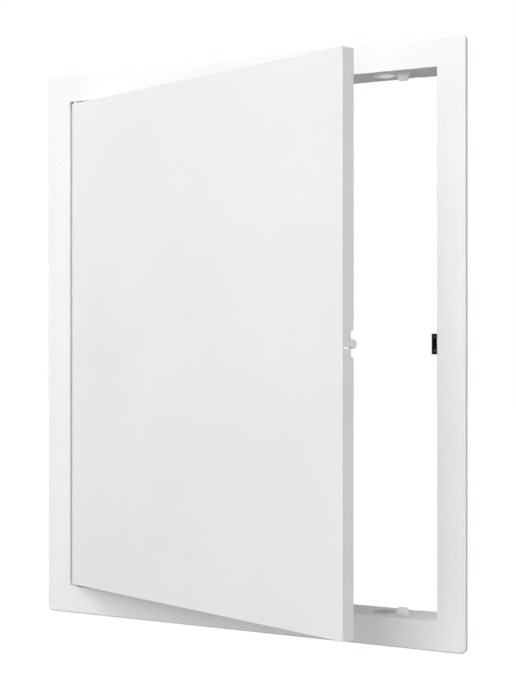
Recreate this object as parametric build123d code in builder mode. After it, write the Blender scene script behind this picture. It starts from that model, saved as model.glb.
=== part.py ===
from build123d import *

import os
from math import cos, radians, sin

# Moulded access panel: a flanged frame that fits a wall cut-out, and a pivoted door leaf with a snap catch

# Frame sizes in millimetres
opening_width = 245.0
opening_height = 300.0
return_wall = 2.5
return_depth = 27.5
flange_cover = 16.5
flange_thickness = 3.0
flange_corner_radius = 3.5
flange_edge_radius = 1.0

# Door leaf
hinge_gap = 0.8
latch_gap = 1.5
level_gap = 1.2
door_wall = 2.5
door_depth = 8.3
door_open_angle = 20.0

# Pivot pins
pin_radius = 1.5
pin_clearance = 0.05

# Fixing holes in the top and bottom returns
fixing_hole_radius = 6.5
fixing_hole_inset = 38.0
fixing_hole_setback = 14.5

# Stop lugs
lug_inset = 24.3
lug_root_width = 7.4
lug_tip_width = 5.3
lug_height = 4.1
lug_thickness = 1.5
lug_root_radius = 3.2
lug_tip_radius = 0.7
stop_clearance = 0.9
relief_width = 8.0
relief_depth = 1.5

# Snap tongue on the latch rim
tongue_height = 3.2
tongue_root = 1.3
tongue_slit = 0.8
tongue_groove = 0.6
tongue_groove_depth = 1.0
tongue_head_radius = 2.4
tongue_head_sink = 0.25
notch_height = 13.7
notch_depth = 2.1
notch_radius = 1.2

# Catch
catch_height = 11.4
catch_reach = 6.1
catch_wall = 0.8
catch_mouth = 5.6
catch_block_length = 6.0
jaw_recess = 0.5
jaw_nose_radius = 0.9
catch_front_clearance = 0.6
catch_floor_clearance = 0.85

# Frame positions: X to the right, Y into the wall, Z up, wall face at Y = 0
front_y = -flange_thickness
outer_width = opening_width + 2 * flange_cover
outer_height = opening_height + 2 * flange_cover
insert_width = opening_width + 2 * return_wall
insert_height = opening_height + 2 * return_wall
strip_width = flange_cover - return_wall
centre_z = (outer_height - strip_width) / 2
opening_left = -opening_width / 2
opening_right = opening_width / 2
opening_bottom = centre_z - opening_height / 2
opening_top = centre_z + opening_height / 2
return_mid_y = front_y + return_depth / 2

# Door positions, measured from the pivot axis along the leaf
hinge_edge_radius = door_wall
door_width = opening_width - hinge_gap - latch_gap
door_height = opening_height - 2 * level_gap
rim_depth = door_depth - door_wall
rim_height = door_height - 2 * door_wall
free_edge_x = door_width - hinge_edge_radius
pin_x = opening_left + hinge_gap + hinge_edge_radius
pin_y = front_y + hinge_edge_radius
pin_length = level_gap + return_wall

# Latch positions, measured back from the front plane of the closed door
notch_floor = door_depth - notch_depth
catch_front = notch_floor + catch_front_clearance
tongue_tip = door_depth - tongue_head_sink + tongue_head_radius
mouth_floor = tongue_tip + catch_floor_clearance
mouth_length = mouth_floor - catch_front
catch_length = mouth_length + catch_block_length
pocket_reach = catch_reach - catch_wall
pocket_height = catch_height - 2 * catch_wall
jaw_front = catch_front + jaw_recess
jaw_length = mouth_floor - jaw_front
jaw_height = (pocket_height - catch_mouth) / 2
jaw_offset = (catch_mouth + jaw_height) / 2
lug_front = door_depth + stop_clearance
slit_start = tongue_root - door_wall
slit_length = rim_depth - slit_start
slit_middle = slit_start + slit_length / 2

door_swing = radians(door_open_angle)
leaf_direction = (cos(door_swing), -sin(door_swing), 0)
leaf_back = (sin(door_swing), cos(door_swing), 0)

flange_plane = Plane(origin=(0, 0, centre_z), x_dir=(1, 0, 0), z_dir=(0, -1, 0))
door_plane = Plane(
    origin=(pin_x, pin_y, opening_bottom + level_gap), x_dir=leaf_direction, z_dir=(0, 0, 1)
)
latch_plane = Plane(
    origin=door_plane.from_local_coords((free_edge_x, 0, door_height / 2)),
    x_dir=leaf_back,
    z_dir=leaf_direction,
)
catch_plane = Plane(origin=(opening_right, front_y, centre_z), x_dir=(0, 1, 0), z_dir=(-1, 0, 0))


def draw_long_return():
    """Outline of the top and bottom returns with their holes and the reliefs behind the lugs."""
    fixing_x = opening_width / 2 - fixing_hole_inset
    fixing_y = front_y + fixing_hole_setback
    lug_x = opening_width / 2 - lug_inset
    with Locations((0, return_mid_y)):
        Rectangle(insert_width, return_depth)
    with Locations((-fixing_x, fixing_y), (fixing_x, fixing_y)):
        Circle(fixing_hole_radius, mode=Mode.SUBTRACT)
    with Locations((pin_x, pin_y)):
        Circle(pin_radius + pin_clearance, mode=Mode.SUBTRACT)
    with Locations((-lug_x, front_y + return_depth), (lug_x, front_y + return_depth)):
        Rectangle(relief_width, 2 * relief_depth, mode=Mode.SUBTRACT)


def cut_tongue_free():
    """Cuts the slit below the tongue right through the door's free edge, and the shallow groove above it."""
    with BuildSketch(latch_plane) as slit:
        with Locations((slit_middle, -(tongue_height + tongue_slit) / 2)):
            Rectangle(slit_length, tongue_slit)
    extrude(slit.sketch, amount=-door_wall, mode=Mode.SUBTRACT)
    with BuildSketch(latch_plane) as groove:
        with Locations((slit_middle, (tongue_height + tongue_groove) / 2)):
            Rectangle(slit_length, tongue_groove)
    extrude(groove.sketch, amount=-tongue_groove_depth, mode=Mode.SUBTRACT)


os.makedirs("parts", exist_ok=True)

# Front flange, a flat ring with a rounded front edge
with BuildPart() as front_flange:
    with BuildSketch(flange_plane):
        RectangleRounded(outer_width, outer_height, flange_corner_radius)
        Rectangle(insert_width, insert_height, mode=Mode.SUBTRACT)
    extrude(amount=flange_thickness)
    front_face = front_flange.faces().sort_by(Axis.Y)[0]
    fillet(front_face.outer_wire().edges(), flange_edge_radius)
front_flange.part.label = "front_flange"
export_step(front_flange.part, "parts/front_flange.step")

# Returns, the four walls that line the cut-out
with BuildPart() as top_return:
    with BuildSketch(Plane.XY.offset(opening_top)):
        draw_long_return()
    extrude(amount=return_wall)
top_return.part.label = "top_return"
export_step(top_return.part, "parts/top_return.step")

with BuildPart() as bottom_return:
    with BuildSketch(Plane.XY.offset(opening_bottom)):
        draw_long_return()
    extrude(amount=-return_wall)
bottom_return.part.label = "bottom_return"
export_step(bottom_return.part, "parts/bottom_return.step")

with BuildPart() as hinge_side_return:
    with BuildSketch(Plane.XY.offset(opening_bottom)):
        with Locations((opening_left - return_wall / 2, return_mid_y)):
            Rectangle(return_wall, return_depth)
    extrude(amount=opening_height)
hinge_side_return.part.label = "hinge_side_return"
export_step(hinge_side_return.part, "parts/hinge_side_return.step")

with BuildPart() as latch_side_return:
    with BuildSketch(Plane.XY.offset(opening_bottom)):
        with Locations((opening_right + return_wall / 2, return_mid_y)):
            Rectangle(return_wall, return_depth)
    extrude(amount=opening_height)
latch_side_return.part.label = "latch_side_return"
export_step(latch_side_return.part, "parts/latch_side_return.step")

# Stop lugs, tapered tongues with a concave root that stand on the top and bottom returns
for side_name, side in (("left", -1), ("right", 1)):
    for level_name, level_z, rise in (("lower", opening_bottom, 1), ("upper", opening_top, -1)):
        lug_origin = (side * (opening_width / 2 - lug_inset), front_y, level_z)
        profile_plane = Plane(origin=lug_origin, x_dir=(0, 1, 0), z_dir=(rise, 0, 0))
        taper_plane = Plane(origin=lug_origin, x_dir=(rise, 0, 0), z_dir=(0, -1, 0))
        with BuildPart() as stop_lug:
            with BuildSketch(profile_plane):
                with BuildLine():
                    root_start = (lug_front - lug_root_radius, 0)
                    root_end = (lug_front, lug_root_radius)
                    RadiusArc(root_start, root_end, -lug_root_radius)
                    Polyline(
                        root_end,
                        (lug_front, lug_height),
                        (lug_front + lug_thickness, lug_height),
                        (lug_front + lug_thickness, 0),
                        root_start,
                    )
                make_face()
            extrude(amount=lug_root_width / 2, both=True)
            with BuildSketch(taper_plane) as taper:
                with BuildLine():
                    Polyline(
                        (-lug_root_width / 2, 0),
                        (lug_root_width / 2, 0),
                        (lug_tip_width / 2, lug_height),
                        (-lug_tip_width / 2, lug_height),
                        close=True,
                    )
                make_face()
                tip_corners = taper.vertices().sort_by(Axis.Y)[-2:]
                fillet(tip_corners, lug_tip_radius)
            extrude(amount=-(lug_front + lug_thickness), mode=Mode.INTERSECT)
        stop_lug.part.label = f"{level_name}_{side_name}_stop_lug"
        export_step(stop_lug.part, f"parts/{stop_lug.part.label}.step")

# Catch on the latch side: a housing with an open front and two fixed jaws inside
with BuildPart() as catch_housing:
    with BuildSketch(catch_plane):
        with Locations((catch_front + catch_length / 2, 0)):
            Rectangle(catch_length, catch_height)
    extrude(amount=catch_reach)
    with BuildSketch(catch_plane):
        with Locations((catch_front + mouth_length / 2, 0)):
            Rectangle(mouth_length, pocket_height)
    extrude(amount=pocket_reach, mode=Mode.SUBTRACT)
catch_housing.part.label = "catch_housing"
export_step(catch_housing.part, "parts/catch_housing.step")

for jaw_name, jaw_side in (("upper", -1), ("lower", 1)):
    with BuildPart() as catch_jaw:
        with BuildSketch(catch_plane) as jaw_sketch:
            with Locations((jaw_front + jaw_length / 2, jaw_side * jaw_offset)):
                Rectangle(jaw_length, jaw_height)
            front_corners = jaw_sketch.vertices().sort_by(Axis.X)[:2]
            fillet(front_corners, jaw_nose_radius)
        extrude(amount=pocket_reach)
    catch_jaw.part.label = f"catch_{jaw_name}_jaw"
    export_step(catch_jaw.part, f"parts/{catch_jaw.part.label}.step")

# Door face, its hinge edge rounded about the pivot axis
with BuildPart() as door_face:
    with BuildSketch(door_plane):
        with BuildLine():
            Polyline(
                (0, -hinge_edge_radius),
                (free_edge_x, -hinge_edge_radius),
                (free_edge_x, 0),
                (-hinge_edge_radius, 0),
            )
            CenterArc((0, 0), hinge_edge_radius, 180, 90)
        make_face()
    extrude(amount=door_height)
    cut_tongue_free()
door_face.part.label = "door_face"
export_step(door_face.part, "parts/door_face.step")

# Door rims behind the face
for rim_name, rim_base in (("bottom", 0), ("top", door_height - door_wall)):
    with BuildPart() as level_rim:
        with BuildSketch(door_plane.offset(rim_base)):
            with Locations((door_width / 2 - hinge_edge_radius, rim_depth / 2)):
                Rectangle(door_width, rim_depth)
        extrude(amount=door_wall)
    level_rim.part.label = f"door_{rim_name}_rim"
    export_step(level_rim.part, f"parts/{level_rim.part.label}.step")

with BuildPart() as door_hinge_rim:
    with BuildSketch(door_plane.offset(door_wall)):
        with Locations((door_wall / 2 - hinge_edge_radius, rim_depth / 2)):
            Rectangle(door_wall, rim_depth)
    extrude(amount=rim_height)
door_hinge_rim.part.label = "door_hinge_rim"
export_step(door_hinge_rim.part, "parts/door_hinge_rim.step")

# Latch rim, in two halves above and below the tongue
for rim_name, rim_side in (("lower", -1), ("upper", 1)):
    with BuildPart() as latch_rim:
        with BuildSketch(latch_plane):
            with Locations((rim_depth / 2, rim_side * rim_height / 4)):
                Rectangle(rim_depth, rim_height / 2)
            with Locations((rim_depth, 0)):
                RectangleRounded(2 * notch_depth, notch_height, notch_radius, mode=Mode.SUBTRACT)
            with Locations((rim_depth / 2, 0)):
                Rectangle(rim_depth, tongue_height, mode=Mode.SUBTRACT)
        extrude(amount=-door_wall)
        cut_tongue_free()
    latch_rim.part.label = f"door_{rim_name}_latch_rim"
    export_step(latch_rim.part, f"parts/{latch_rim.part.label}.step")

# Snap tongue with a round head
with BuildPart() as latch_tongue:
    with BuildSketch(latch_plane):
        stem_length = rim_depth - tongue_head_sink
        with Locations((stem_length / 2, 0)):
            Rectangle(stem_length, tongue_height)
        with Locations((rim_depth - tongue_head_sink, 0)):
            Circle(tongue_head_radius)
    extrude(amount=-door_wall)
latch_tongue.part.label = "latch_tongue"
export_step(latch_tongue.part, "parts/latch_tongue.step")

# Pivot pins that turn in the top and bottom returns
for pin_name, pin_base, pin_rise in (("lower", 0, -pin_length), ("upper", door_height, pin_length)):
    with BuildPart() as hinge_pin:
        with BuildSketch(door_plane.offset(pin_base)):
            Circle(pin_radius)
        extrude(amount=pin_rise)
    hinge_pin.part.label = f"{pin_name}_hinge_pin"
    export_step(hinge_pin.part, f"parts/{hinge_pin.part.label}.step")
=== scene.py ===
import math

import bmesh
import bpy
from mathutils import Matrix, Vector


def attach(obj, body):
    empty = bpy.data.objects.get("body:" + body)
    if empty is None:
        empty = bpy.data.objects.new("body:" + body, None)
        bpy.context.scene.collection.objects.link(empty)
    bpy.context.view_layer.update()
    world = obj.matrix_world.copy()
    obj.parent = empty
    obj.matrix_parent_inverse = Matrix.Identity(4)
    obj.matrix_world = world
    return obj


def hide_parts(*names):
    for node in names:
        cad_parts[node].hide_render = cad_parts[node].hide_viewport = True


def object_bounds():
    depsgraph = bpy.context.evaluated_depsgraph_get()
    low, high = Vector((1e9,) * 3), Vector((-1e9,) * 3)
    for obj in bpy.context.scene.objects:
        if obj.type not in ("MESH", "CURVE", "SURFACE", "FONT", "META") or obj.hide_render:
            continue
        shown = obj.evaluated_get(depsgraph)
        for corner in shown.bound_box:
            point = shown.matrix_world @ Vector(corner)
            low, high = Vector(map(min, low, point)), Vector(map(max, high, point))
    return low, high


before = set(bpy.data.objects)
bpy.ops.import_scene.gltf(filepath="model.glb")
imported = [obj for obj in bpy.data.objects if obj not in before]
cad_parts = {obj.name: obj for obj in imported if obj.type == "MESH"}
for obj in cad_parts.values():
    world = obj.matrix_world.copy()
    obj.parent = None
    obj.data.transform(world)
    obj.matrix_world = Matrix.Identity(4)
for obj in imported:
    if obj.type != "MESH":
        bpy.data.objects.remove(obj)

MM = 0.001
cad_low, cad_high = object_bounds()

# Frame sizes in millimetres
OPENING_WIDTH = 245.0
OPENING_HEIGHT = 300.0
CENTRE_Z = 159.5
RETURN_WALL = 2.5
RETURN_DEPTH = 27.5
FLANGE_COVER = 16.5
FLANGE_THICKNESS = 3.0
FLANGE_CORNER = 3.5
FLANGE_FRONT_EDGE = 1.0
FLANGE_REAR_EDGE = 0.2
FRAME_EDGE = 0.2

# Holes and lugs of the top and bottom returns
HOLE_RADIUS = 6.5
HOLE_INSET = 38.0
HOLE_SETBACK = 14.5
HOLE_BEVEL = 0.3
PIN_HOLE_RADIUS = 1.55
LUG_INSET = 24.3
LUG_FRONT = 9.2
LUG_ROOT_WIDTH = 7.4
LUG_TIP_WIDTH = 5.3
LUG_HEIGHT = 4.1
LUG_THICKNESS = 1.5
LUG_ROOT_RADIUS = 3.2
LUG_TIP_RADIUS = 0.7
LUG_EDGE = 0.25
RELIEF_WIDTH = 8.0
RELIEF_DEPTH = 1.5

# Door leaf, open as at rest
DOOR_ANGLE = math.radians(20)
DOOR_WIDTH = 242.7
DOOR_DEPTH = 8.3
DOOR_WALL = 2.5
DOOR_EDGE = 0.3
DOOR_CORNER = 0.45
LEVEL_GAP = 1.2
PIN_X = -119.2
PIN_Y = -0.5
PIN_RADIUS = 1.5
PIN_EDGE = 0.15

# Snap tongue
TONGUE_HEIGHT = 3.2
TONGUE_ROOT = 1.3
TONGUE_SLIT = 0.8
TONGUE_GROOVE = 0.6
TONGUE_GROOVE_DEPTH = 0.5
HEAD_RADIUS = 2.4
HEAD_SINK = 0.25
HEAD_EDGE = 0.25
NOTCH_HEIGHT = 13.7
NOTCH_DEPTH = 2.1
NOTCH_RADIUS = 1.2

# Catch
CATCH_FRONT = 6.8
CATCH_HEIGHT = 11.4
CATCH_REACH = 6.1
CATCH_WALL = 0.8
CATCH_BACK = 17.3
CATCH_EDGE = 0.3
CATCH_CORNER = 0.4
MOUTH_FLOOR = 11.3
MOUTH_HEIGHT = 5.6
JAW_FRONT = 7.3
JAW_NOSE = 0.9
JAW_EDGE = 0.2

# Fineness of the curves, reach of a cutting tool past what it cuts, and the distance that merges points
EDGE_STEPS = 5
CORNER_STEPS = 10
ROUND_STEPS = 96
PAST = 1.0
SLIGHTLY_PAST = 0.1
MERGE = 0.0005 * MM

# Places that follow from the sizes
front_y = -FLANGE_THICKNESS
return_back = front_y + RETURN_DEPTH
half_width = OPENING_WIDTH / 2
half_height = OPENING_HEIGHT / 2
opening_bottom = CENTRE_Z - half_height
opening_top = CENTRE_Z + half_height
door_height = OPENING_HEIGHT - 2 * LEVEL_GAP
door_back = DOOR_DEPTH - DOOR_WALL
free_edge = DOOR_WIDTH - DOOR_WALL
leaf_along = Vector((math.cos(DOOR_ANGLE), -math.sin(DOOR_ANGLE), 0.0))
leaf_behind = Vector((math.sin(DOOR_ANGLE), math.cos(DOOR_ANGLE), 0.0))
pin_foot = Vector((PIN_X, PIN_Y, opening_bottom + LEVEL_GAP))
panel_centre = Vector((0.0, front_y, CENTRE_Z)) * MM


def placing(origin, x_axis, y_axis):
    """Takes millimetres along two axes and their normal to metres in the room."""
    x_axis = Vector(x_axis)
    y_axis = Vector(y_axis)
    turn = Matrix((x_axis, y_axis, x_axis.cross(y_axis))).transposed().to_4x4()
    return Matrix.Translation(Vector(origin) * MM) @ turn @ Matrix.Scale(MM, 4)


room = placing((0, 0, 0), (1, 0, 0), (0, 1, 0))
door_place = placing(pin_foot, leaf_along, leaf_behind)
latch_place = placing(
    pin_foot + leaf_along * free_edge + Vector((0, 0, door_height / 2)), leaf_behind, (0, 0, 1)
)
catch_place = placing((half_width, front_y, CENTRE_Z), (0, 1, 0), (0, 0, -1))


def arc(centre, radius, start, end, steps):
    """Points along an arc, its angles in degrees."""
    turns = [math.radians(start + (end - start) * step / steps) for step in range(steps + 1)]
    x, y = centre
    return [(x + radius * math.cos(turn), y + radius * math.sin(turn)) for turn in turns]


def circle(centre, radius):
    """Points round a full circle."""
    return arc(centre, radius, 0, 360, ROUND_STEPS)[:-1]


def rounded_box(low, high, radius):
    """Outline of a rectangle with rounded corners, counter-clockwise."""
    left, bottom = low[0] + radius, low[1] + radius
    right, top = high[0] - radius, high[1] - radius
    return (
        arc((left, bottom), radius, 180, 270, EDGE_STEPS)
        + arc((right, bottom), radius, 270, 360, EDGE_STEPS)
        + arc((right, top), radius, 0, 90, EDGE_STEPS)
        + arc((left, top), radius, 90, 180, EDGE_STEPS)
    )


def plain_box(low, high):
    """Outline of a rectangle with sharp corners, counter-clockwise."""
    return [low, (high[0], low[1]), high, (low[0], high[1])]


def inset(outline, amount):
    """The counter-clockwise outline moved inwards by the amount."""
    points = [Vector(point) for point in outline]
    moved = []
    for index, point in enumerate(points):
        before = (point - points[index - 1]).normalized()
        after = (points[(index + 1) % len(points)] - point).normalized()
        side_before = Vector((-before.y, before.x))
        side_after = Vector((-after.y, after.x))
        lean = (side_before + side_after) / (1 + side_before.dot(side_after))
        moved.append(point + lean * amount)
    return moved


def lofted(name, rings, place, closed=False):
    """A skin over rings of points, capped at its ends, or closed on itself."""
    work = bmesh.new()
    rows = [[work.verts.new(place @ Vector(point)) for point in ring] for ring in rings]
    pairs = list(zip(rows, rows[1:]))
    if closed:
        pairs.append((rows[-1], rows[0]))
    else:
        work.faces.new(list(reversed(rows[0])))
        work.faces.new(rows[-1])
    for lower, upper in pairs:
        for index in range(len(lower)):
            ahead = (index + 1) % len(lower)
            work.faces.new((lower[index], lower[ahead], upper[ahead], upper[index]))
    bmesh.ops.remove_doubles(work, verts=work.verts, dist=MERGE)
    bmesh.ops.recalc_face_normals(work, faces=work.faces)
    mesh = bpy.data.meshes.new(name)
    work.to_mesh(mesh)
    work.free()
    piece = bpy.data.objects.new(name, mesh)
    bpy.context.scene.collection.objects.link(piece)
    return piece


def prism(name, outline, start, end, edge, place):
    """A prism of the outline from start to end along the normal, its end edges rounded."""
    turns = [math.radians(90 * step / EDGE_STEPS) for step in range(EDGE_STEPS + 1)]
    levels = [(edge * (1 - math.sin(turn)), edge * (1 - math.cos(turn))) for turn in turns]
    rings = [(inset(outline, inner), start + rise) for inner, rise in levels]
    rings += [(inset(outline, inner), end - rise) for inner, rise in reversed(levels)]
    return lofted(name, [[(x, y, height) for x, y in ring] for ring, height in rings], place)


def tool(outline, start, end, place):
    """A sharp prism to cut with."""
    rings = [[(x, y, height) for x, y in outline] for height in (start, end)]
    return lofted("tool", rings, place)


def fuse(piece, tools, operation):
    """Cuts the tools out of the piece, or joins them to it."""
    for other in tools:
        change = piece.modifiers.new("fuse", "BOOLEAN")
        change.operation = operation
        change.solver = "EXACT"
        change.object = other
    bpy.context.view_layer.update()
    graph = bpy.context.evaluated_depsgraph_get()
    mesh = bpy.data.meshes.new_from_object(piece.evaluated_get(graph))
    piece.modifiers.clear()
    piece.data = mesh
    for other in tools:
        bpy.data.objects.remove(other)


def dress(piece, material, body, slot, *nodes):
    """Gives the piece its material and body, and hides the CAD nodes it stands in for. The slot argument is
    not used.
    """
    piece.data.materials.clear()
    piece.data.materials.append(material)
    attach(piece, body)
    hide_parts(*nodes)


def frame_section():
    """The L section of the frame: outward from the opening, and back from the wall face."""
    edge = FRAME_EDGE
    front_edge = FLANGE_FRONT_EDGE
    rear_edge = FLANGE_REAR_EDGE
    fold = (RETURN_WALL + edge, edge)
    return (
        arc((edge, front_y + edge), edge, 180, 270, EDGE_STEPS)
        + arc((FLANGE_COVER - front_edge, front_y + front_edge), front_edge, 270, 360, EDGE_STEPS)
        + arc((FLANGE_COVER - rear_edge, -rear_edge), rear_edge, 0, 90, EDGE_STEPS)
        + arc(fold, edge, 270, 180, EDGE_STEPS)
        + arc((RETURN_WALL - edge, return_back - edge), edge, 0, 90, EDGE_STEPS)
        + arc((edge, return_back - edge), edge, 90, 180, EDGE_STEPS)
    )


def frame_ring(outward, y):
    """One line of the section carried round the opening, curved round the flange's corners."""
    straight = min(outward, FLANGE_COVER - FLANGE_CORNER)
    radius = outward - straight
    points = []
    for quarter, (side, level) in enumerate(((1, 1), (-1, 1), (-1, -1), (1, -1))):
        centre = (side * (half_width + straight), CENTRE_Z + level * (half_height + straight))
        start = 90 * quarter
        points += [(x, y, z) for x, z in arc(centre, radius, start, start + 90, CORNER_STEPS)]
    return points


def fixing_hole_tool(x, bottom):
    """A round cutter with a bevelled lip at both faces of a return."""
    top = bottom + RETURN_WALL
    stations = (
        (HOLE_RADIUS + HOLE_BEVEL + PAST, bottom - PAST),
        (HOLE_RADIUS, bottom + HOLE_BEVEL),
        (HOLE_RADIUS, top - HOLE_BEVEL),
        (HOLE_RADIUS + HOLE_BEVEL + PAST, top + PAST),
    )
    centre = (x, front_y + HOLE_SETBACK)
    rings = [[(px, py, z) for px, py in circle(centre, radius)] for radius, z in stations]
    return lofted("tool", rings, room)


def build_frame(material):
    """The flange and its four returns as one moulding, with the holes of the top and bottom returns."""
    rings = [frame_ring(*point) for point in frame_section()]
    piece = lofted("frame_moulding", rings, room, closed=True)
    tools = []
    for bottom in (opening_bottom - RETURN_WALL, opening_top):
        for side in (-1, 1):
            tools.append(fixing_hole_tool(side * (half_width - HOLE_INSET), bottom))
            middle = side * (half_width - LUG_INSET)
            relief = plain_box(
                (middle - RELIEF_WIDTH / 2, return_back - RELIEF_DEPTH),
                (middle + RELIEF_WIDTH / 2, return_back + PAST),
            )
            tools.append(tool(relief, bottom - PAST, bottom + RETURN_WALL + PAST, room))
    pin_hole = circle((PIN_X, PIN_Y), PIN_HOLE_RADIUS)
    tools.append(tool(pin_hole, opening_top - PAST, opening_top + RETURN_WALL, room))
    tools.append(tool(pin_hole, opening_bottom - RETURN_WALL, opening_bottom + PAST, room))
    fuse(piece, tools, "DIFFERENCE")
    dress(
        piece, material, "frame", "frame_white",
        "front_flange", "top_return", "bottom_return", "hinge_side_return", "latch_side_return",
    )


def lug_ring(height, front, back, half):
    """A level of a stop lug, with rounded upright edges."""
    return [(x, y, height) for x, y in rounded_box((-half, front), (half, back), LUG_EDGE)]


def build_lug(level, side, rise, material):
    """A tapered stop lug with a hollow root, standing on a return."""
    origin = (side * (half_width - LUG_INSET), front_y, opening_bottom if rise > 0 else opening_top)
    back = LUG_FRONT + LUG_THICKNESS
    taper = (LUG_ROOT_WIDTH - LUG_TIP_WIDTH) / (2 * LUG_HEIGHT)
    rings = []
    root = LUG_ROOT_RADIUS
    for y, height in arc((LUG_FRONT - root, root), root, 270, 360, CORNER_STEPS):
        rings.append(lug_ring(height, y, back, LUG_ROOT_WIDTH / 2 - taper * height))
    for across, height in arc((0, LUG_HEIGHT - LUG_TIP_RADIUS), LUG_TIP_RADIUS, 0, 90, EDGE_STEPS):
        lost = LUG_TIP_RADIUS - across
        trim = LUG_EDGE * lost / LUG_TIP_RADIUS
        half = LUG_ROOT_WIDTH / 2 - taper * height - lost
        rings.append(lug_ring(height, LUG_FRONT + trim, back - trim, half))
    name = f"{level}_{'right' if side > 0 else 'left'}_stop_lug"
    piece = lofted(name + "_moulding", rings, placing(origin, (rise, 0, 0), (0, 1, 0)))
    dress(piece, material, "frame", "frame_white", name)


def build_catch(shell_material, jaw_material):
    """The open-fronted housing and the two jaws inside it."""
    half = CATCH_HEIGHT / 2
    reach = CATCH_REACH - CATCH_WALL
    shell = prism(
        "catch_shell",
        rounded_box((CATCH_FRONT, -half), (CATCH_BACK, half), CATCH_CORNER),
        0, CATCH_REACH, CATCH_EDGE, catch_place,
    )
    pocket = plain_box((CATCH_FRONT - PAST, CATCH_WALL - half), (MOUTH_FLOOR, half - CATCH_WALL))
    fuse(shell, [tool(pocket, -PAST, reach, catch_place)], "DIFFERENCE")
    dress(shell, shell_material, "frame", "catch_black", "catch_housing")
    for name, side in (("upper", -1), ("lower", 1)):
        inner, outer = sorted((side * MOUTH_HEIGHT / 2, side * (half - CATCH_WALL)))
        outline = (
            arc((JAW_FRONT + JAW_NOSE, inner + JAW_NOSE), JAW_NOSE, 180, 270, CORNER_STEPS)
            + [(MOUTH_FLOOR, inner), (MOUTH_FLOOR, outer)]
            + arc((JAW_FRONT + JAW_NOSE, outer - JAW_NOSE), JAW_NOSE, 90, 180, CORNER_STEPS)
        )
        jaw = prism(f"catch_{name}_jaw_moulding", outline, 0, reach, JAW_EDGE, catch_place)
        dress(jaw, jaw_material, "frame", "catch_black", f"catch_{name}_jaw")


def build_door(material):
    """The door leaf: a tray with a rounded hinge edge, and the snap tongue in its latch rim."""
    corner = DOOR_CORNER
    outline = (
        arc((0, 0), DOOR_WALL, 180, 270, 2 * CORNER_STEPS)
        + arc((free_edge - corner, corner - DOOR_WALL), corner, 270, 360, EDGE_STEPS)
        + arc((free_edge - corner, door_back - corner), corner, 0, 90, EDGE_STEPS)
        + arc((corner - DOOR_WALL, door_back - corner), corner, 90, 180, EDGE_STEPS)
    )
    piece = prism("door_moulding", outline, 0, door_height, DOOR_EDGE, door_place)
    tray = plain_box((0, 0), (free_edge - DOOR_WALL, door_back + PAST))
    notch = rounded_box(
        (door_back - NOTCH_DEPTH, -NOTCH_HEIGHT / 2),
        (door_back + 2 * NOTCH_RADIUS, NOTCH_HEIGHT / 2),
        NOTCH_RADIUS,
    )
    root = TONGUE_ROOT - DOOR_WALL
    half = TONGUE_HEIGHT / 2
    slit = plain_box((root, -half - TONGUE_SLIT), (door_back + PAST, -half))
    groove = plain_box((root, half), (door_back + PAST, half + TONGUE_GROOVE))
    through = -DOOR_WALL - SLIGHTLY_PAST
    fuse(
        piece,
        [
            tool(tray, DOOR_WALL, door_height - DOOR_WALL, door_place),
            tool(notch, through, PAST, latch_place),
            tool(slit, through, PAST, latch_place),
            tool(groove, -TONGUE_GROOVE_DEPTH, PAST, latch_place),
        ],
        "DIFFERENCE",
    )
    head_round = circle((door_back - HEAD_SINK, 0), HEAD_RADIUS)
    head = prism("head", head_round, -DOOR_WALL, 0, HEAD_EDGE, latch_place)
    fuse(piece, [head], "UNION")
    dress(
        piece, material, "door", "door_white",
        "door_face", "door_top_rim", "door_bottom_rim", "door_hinge_rim",
        "door_upper_latch_rim", "door_lower_latch_rim", "latch_tongue",
    )
    length = LEVEL_GAP + RETURN_WALL
    for name, start in (("upper", door_height), ("lower", -length)):
        pin = prism(f"{name}_pin", circle((0, 0), PIN_RADIUS), start, start + length, PIN_EDGE, door_place)
        dress(pin, material, "door", "door_white", f"{name}_hinge_pin")


# Surface of the plastic: sizes of its patterns as noise scales, its grain, and its edges lightened partly
# as wear and partly as a painted highlight
CLOUD_SCALE = 14.0
PATCH_SCALE = 60.0
SCUFF_AND_HIGHLIGHT_SCALE = 420.0
GRAIN_SCALE = 2200.0
GRAIN_HEIGHT = 0.03 * MM
GRAIN_STRENGTH = 0.25
WEAR_AND_HIGHLIGHT_WIDTH = 0.3 * MM
FLAT_COSINE = 0.99
EDGE_COSINE = 0.80
NOISE_LOW = 0.3
NOISE_HIGH = 0.7


def new_material(name):
    """A node material with a Principled shader; returns the material, its nodes, links and shader."""
    material = bpy.data.materials.new(name)
    material.use_nodes = True
    nodes = material.node_tree.nodes
    shader = nodes["Principled BSDF"]
    return material, nodes, material.node_tree.links, shader


def add_noise(nodes, links, place, scale, detail):
    """A noise texture in object space."""
    noise = nodes.new("ShaderNodeTexNoise")
    noise.inputs["Scale"].default_value = scale
    noise.inputs["Detail"].default_value = detail
    links.new(place.outputs["Object"], noise.inputs["Vector"])
    return noise


def add_range(nodes, links, source, low, high):
    """Maps a noise output, which stays near its middle, to low and high."""
    spread = nodes.new("ShaderNodeMapRange")
    spread.inputs["From Min"].default_value = NOISE_LOW
    spread.inputs["From Max"].default_value = NOISE_HIGH
    spread.inputs["To Min"].default_value = low
    spread.inputs["To Max"].default_value = high
    links.new(source, spread.inputs["Value"])
    return spread.outputs["Result"]


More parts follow.
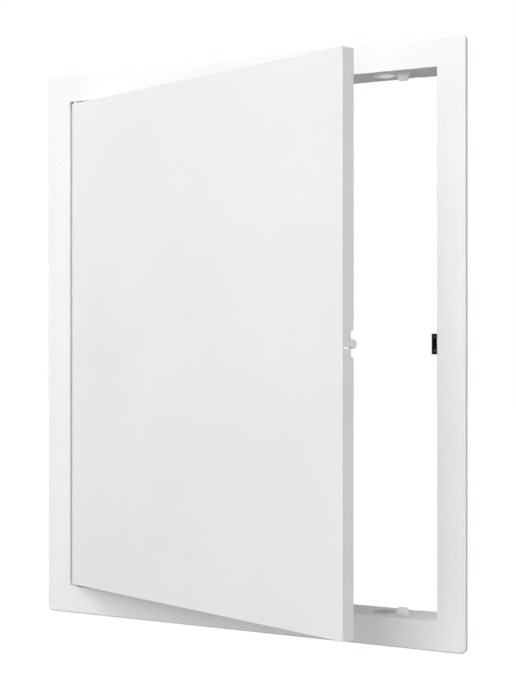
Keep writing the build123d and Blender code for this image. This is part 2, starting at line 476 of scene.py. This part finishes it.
def edge_mask(nodes, links, width):
    """Rises from 0 on flat faces to 1 along edges, where a rounded normal leaves the true one."""
    rounded = nodes.new("ShaderNodeBevel")
    rounded.samples = 6
    rounded.inputs["Radius"].default_value = width
    geometry = nodes.new("ShaderNodeNewGeometry")
    turn = nodes.new("ShaderNodeVectorMath")
    turn.operation = "DOT_PRODUCT"
    links.new(rounded.outputs["Normal"], turn.inputs[0])
    links.new(geometry.outputs["Normal"], turn.inputs[1])
    mask = nodes.new("ShaderNodeMapRange")
    mask.inputs["From Min"].default_value = EDGE_COSINE
    mask.inputs["From Max"].default_value = FLAT_COSINE
    mask.inputs["To Min"].default_value = 1.0
    mask.inputs["To Max"].default_value = 0.0
    links.new(turn.outputs["Value"], mask.inputs["Value"])
    return mask.outputs["Result"]


def seen_directly(nodes, links):
    """1 where a surface is seen straight, in gloss or through something clear, 0 for diffuse light."""
    path = nodes.new("ShaderNodeLightPath")
    straight = nodes.new("ShaderNodeMath")
    straight.operation = "MAXIMUM"
    links.new(path.outputs["Is Camera Ray"], straight.inputs[0])
    links.new(path.outputs["Is Glossy Ray"], straight.inputs[1])
    through = nodes.new("ShaderNodeMath")
    through.operation = "MAXIMUM"
    links.new(straight.outputs["Value"], through.inputs[0])
    links.new(path.outputs["Is Transmission Ray"], through.inputs[1])
    return through.outputs["Value"]


def moulded_plastic(name, dark, light, rough_low, rough_high, gloss, wear_and_highlight):
    """Moulded plastic: cloudy colour, edges lightened as wear and as a painted highlight, patchy gloss and
    a fine spark-eroded grain.
    """
    material, nodes, links, shader = new_material(name)
    shader.inputs["Specular IOR Level"].default_value = gloss
    place = nodes.new("ShaderNodeTexCoord")

    clouds = add_noise(nodes, links, place, scale=CLOUD_SCALE, detail=3.0)
    colour = nodes.new("ShaderNodeMix")
    colour.data_type = "RGBA"
    colour.inputs["A"].default_value = (*dark, 1.0)
    colour.inputs["B"].default_value = (*light, 1.0)
    links.new(add_range(nodes, links, clouds.outputs["Fac"], 0.0, 1.0), colour.inputs["Factor"])

    # Rounded edges lightened towards a paler colour: partly wear, partly a painted highlight along the
    # edges.
    scuff_and_highlight_noise = add_noise(nodes, links, place, scale=SCUFF_AND_HIGHLIGHT_SCALE, detail=4.0)
    wear_and_highlight_mask = nodes.new("ShaderNodeMath")
    wear_and_highlight_mask.operation = "MULTIPLY"
    links.new(edge_mask(nodes, links, WEAR_AND_HIGHLIGHT_WIDTH), wear_and_highlight_mask.inputs[0])
    links.new(add_range(nodes, links, scuff_and_highlight_noise.outputs["Fac"], 0.3, 1.0), wear_and_highlight_mask.inputs[1])
    wear_and_highlight_mix = nodes.new("ShaderNodeMix")
    wear_and_highlight_mix.data_type = "RGBA"
    wear_and_highlight_mix.inputs["B"].default_value = (*wear_and_highlight, 1.0)
    links.new(wear_and_highlight_mask.outputs["Value"], wear_and_highlight_mix.inputs["Factor"])
    links.new(colour.outputs["Result"], wear_and_highlight_mix.inputs["A"])
    links.new(wear_and_highlight_mix.outputs["Result"], shader.inputs["Base Color"])

    patches = add_noise(nodes, links, place, scale=PATCH_SCALE, detail=6.0)
    rough = add_range(nodes, links, patches.outputs["Fac"], rough_low, rough_high)
    links.new(rough, shader.inputs["Roughness"])

    grain = add_noise(nodes, links, place, scale=GRAIN_SCALE, detail=2.0)
    bump = nodes.new("ShaderNodeBump")
    bump.inputs["Strength"].default_value = GRAIN_STRENGTH
    bump.inputs["Distance"].default_value = GRAIN_HEIGHT
    links.new(grain.outputs["Fac"], bump.inputs["Height"])
    links.new(bump.outputs["Normal"], shader.inputs["Normal"])
    return material


white_frame = moulded_plastic(
    "white_frame",
    dark=(0.825, 0.84, 0.85),
    light=(0.855, 0.87, 0.88),
    rough_low=0.40,
    rough_high=0.52,
    gloss=0.1,
    wear_and_highlight=(0.88, 0.89, 0.90),
)
white_door = moulded_plastic(
    "white_door",
    dark=(0.815, 0.83, 0.84),
    light=(0.845, 0.86, 0.87),
    rough_low=0.38,
    rough_high=0.50,
    gloss=0.1,
    wear_and_highlight=(0.88, 0.89, 0.90),
)
black_catch = moulded_plastic(
    "black_catch",
    dark=(0.006, 0.006, 0.006),
    light=(0.012, 0.012, 0.012),
    rough_low=0.40,
    rough_high=0.60,
    gloss=0.5,
    wear_and_highlight=(0.03, 0.03, 0.03),
)
# The jaws are the catch's black plastic, painted lighter grey as if lit on their rounded noses.
black_jaws_painted_lit = moulded_plastic(
    "black_jaws_painted_lit",
    dark=(0.035, 0.035, 0.035),
    light=(0.05, 0.05, 0.05),
    rough_low=0.30,
    rough_high=0.45,
    gloss=0.5,
    wear_and_highlight=(0.10, 0.10, 0.10),
)

build_frame(white_frame)
for level, rise in (("lower", 1), ("upper", -1)):
    for side in (-1, 1):
        build_lug(level, side, rise, white_frame)
build_catch(black_catch, black_jaws_painted_lit)
build_door(white_door)

# Floor well below the wall-mounted panel: it shows the shadow near the panel and fades to white further out
FLOOR_DROP = 1.2
FLOOR_HALF = 30.0
FADE_START = 0.5
FADE_END = 1.0
NEAR_GLOW = 0.82
FAR_GLOW = 1.0
FLOOR_GREY = 0.2
MOTTLE_SCALE = 3.0


def studio_floor():
    """A wide pale floor with a faint mottle, which glows to white with distance for the eye only."""
    level = cad_low.z - FLOOR_DROP
    span = (-FLOOR_HALF, FLOOR_HALF)
    corners = [(x, y, level) for x in span for y in span]
    mesh = bpy.data.meshes.new("floor")
    mesh.from_pydata(corners, [], [(0, 2, 3, 1)])
    floor = bpy.data.objects.new("floor", mesh)
    bpy.context.scene.collection.objects.link(floor)
    material, nodes, links, shader = new_material("pale_floor")
    place = nodes.new("ShaderNodeTexCoord")
    mottle = add_noise(nodes, links, place, scale=MOTTLE_SCALE, detail=2.0)
    links.new(add_range(nodes, links, mottle.outputs["Fac"], 0.85, 0.95), shader.inputs["Roughness"])
    shader.inputs["Base Color"].default_value = (FLOOR_GREY, FLOOR_GREY, FLOOR_GREY, 1.0)
    shader.inputs["Emission Color"].default_value = (1.0, 1.0, 1.0, 1.0)

    away = nodes.new("ShaderNodeVectorMath")
    away.operation = "DISTANCE"
    away.inputs[1].default_value = (panel_centre.x, panel_centre.y, level)
    links.new(place.outputs["Object"], away.inputs[0])
    fade = nodes.new("ShaderNodeMapRange")
    fade.inputs["From Min"].default_value = FADE_START
    fade.inputs["From Max"].default_value = FADE_END
    fade.inputs["To Min"].default_value = NEAR_GLOW
    fade.inputs["To Max"].default_value = FAR_GLOW
    links.new(away.outputs["Value"], fade.inputs["Value"])
    glow = nodes.new("ShaderNodeMath")
    glow.operation = "MULTIPLY"
    links.new(fade.outputs["Result"], glow.inputs[0])
    links.new(seen_directly(nodes, links), glow.inputs[1])
    links.new(glow.outputs["Value"], shader.inputs["Emission Strength"])
    mesh.materials.append(material)


studio_floor()

# Light: an even pale surround and soft square lamps in a ring, aimed at the panel's centre
AMBIENT = 0.04
LAMP_DISTANCE = 1.8
WIDE_LAMP = 1.0
SMALL_LAMP = 0.5


def pale_world():
    """A surround that lights the panel evenly and shows as white wherever it is seen directly."""
    world = bpy.data.worlds.new("pale_surround")
    bpy.context.scene.world = world
    world.use_nodes = True
    nodes = world.node_tree.nodes
    links = world.node_tree.links
    nodes.clear()
    ambient = nodes.new("ShaderNodeBackground")
    ambient.inputs["Color"].default_value = (1.0, 1.0, 1.0, 1.0)
    ambient.inputs["Strength"].default_value = AMBIENT
    white = nodes.new("ShaderNodeBackground")
    white.inputs["Color"].default_value = (1.0, 1.0, 1.0, 1.0)
    blend = nodes.new("ShaderNodeMixShader")
    links.new(seen_directly(nodes, links), blend.inputs["Fac"])
    links.new(ambient.outputs["Background"], blend.inputs[1])
    links.new(white.outputs["Background"], blend.inputs[2])
    output = nodes.new("ShaderNodeOutputWorld")
    links.new(blend.outputs["Shader"], output.inputs["Surface"])


def soft_lamp(name, azimuth, elevation, size, power, shine=True):
    """A lamp at angles in degrees, azimuth 0 in front, positive to the right; shine shows it in gloss."""
    turn = math.radians(azimuth)
    rise = math.radians(elevation)
    heading = Vector((math.sin(turn), -math.cos(turn), 0.0))
    direction = heading * math.cos(rise) + Vector((0.0, 0.0, math.sin(rise)))
    lamp = bpy.data.lights.new(name, "AREA")
    lamp.shape = "SQUARE"
    lamp.size = size
    lamp.energy = power
    holder = bpy.data.objects.new(name, lamp)
    holder.visible_glossy = shine
    holder.location = panel_centre + direction * LAMP_DISTANCE
    holder.rotation_euler = (-direction).to_track_quat("-Z", "Y").to_euler()
    bpy.context.scene.collection.objects.link(holder)


pale_world()
soft_lamp("key", azimuth=0, elevation=60, size=WIDE_LAMP, power=20.8)
soft_lamp("front", azimuth=0, elevation=25, size=WIDE_LAMP, power=10.4)
soft_lamp("right_front", azimuth=30, elevation=-2, size=WIDE_LAMP, power=4.7)
soft_lamp("right", azimuth=60, elevation=-3, size=WIDE_LAMP, power=11.0)
soft_lamp("left", azimuth=-60, elevation=-3, size=WIDE_LAMP, power=9.6)
soft_lamp("back_left", azimuth=-155, elevation=10, size=SMALL_LAMP, power=6.3, shine=False)
soft_lamp("back_right", azimuth=165, elevation=10, size=SMALL_LAMP, power=6.3, shine=False)

# Camera at the photograph's place: level, at mid-height, to the right of the panel
CAMERA_RIGHT = 438.5 * MM
CAMERA_BACK = 760.4 * MM
CAMERA_TURN = math.radians(29.315)
FOCAL_PIXELS = 1512.6
PICTURE_HEIGHT = 688
SENSOR = 36.0

camera_data = bpy.data.cameras.new("camera")
camera_data.sensor_width = SENSOR
camera_data.lens = SENSOR * FOCAL_PIXELS / PICTURE_HEIGHT
camera = bpy.data.objects.new("camera", camera_data)
camera.location = panel_centre + Vector((CAMERA_RIGHT, -CAMERA_BACK, 0.0))
camera.rotation_euler = (math.radians(90), 0.0, CAMERA_TURN)
bpy.context.scene.collection.objects.link(camera)
bpy.context.scene.camera = camera
bpy.context.scene.view_settings.view_transform = "Standard"
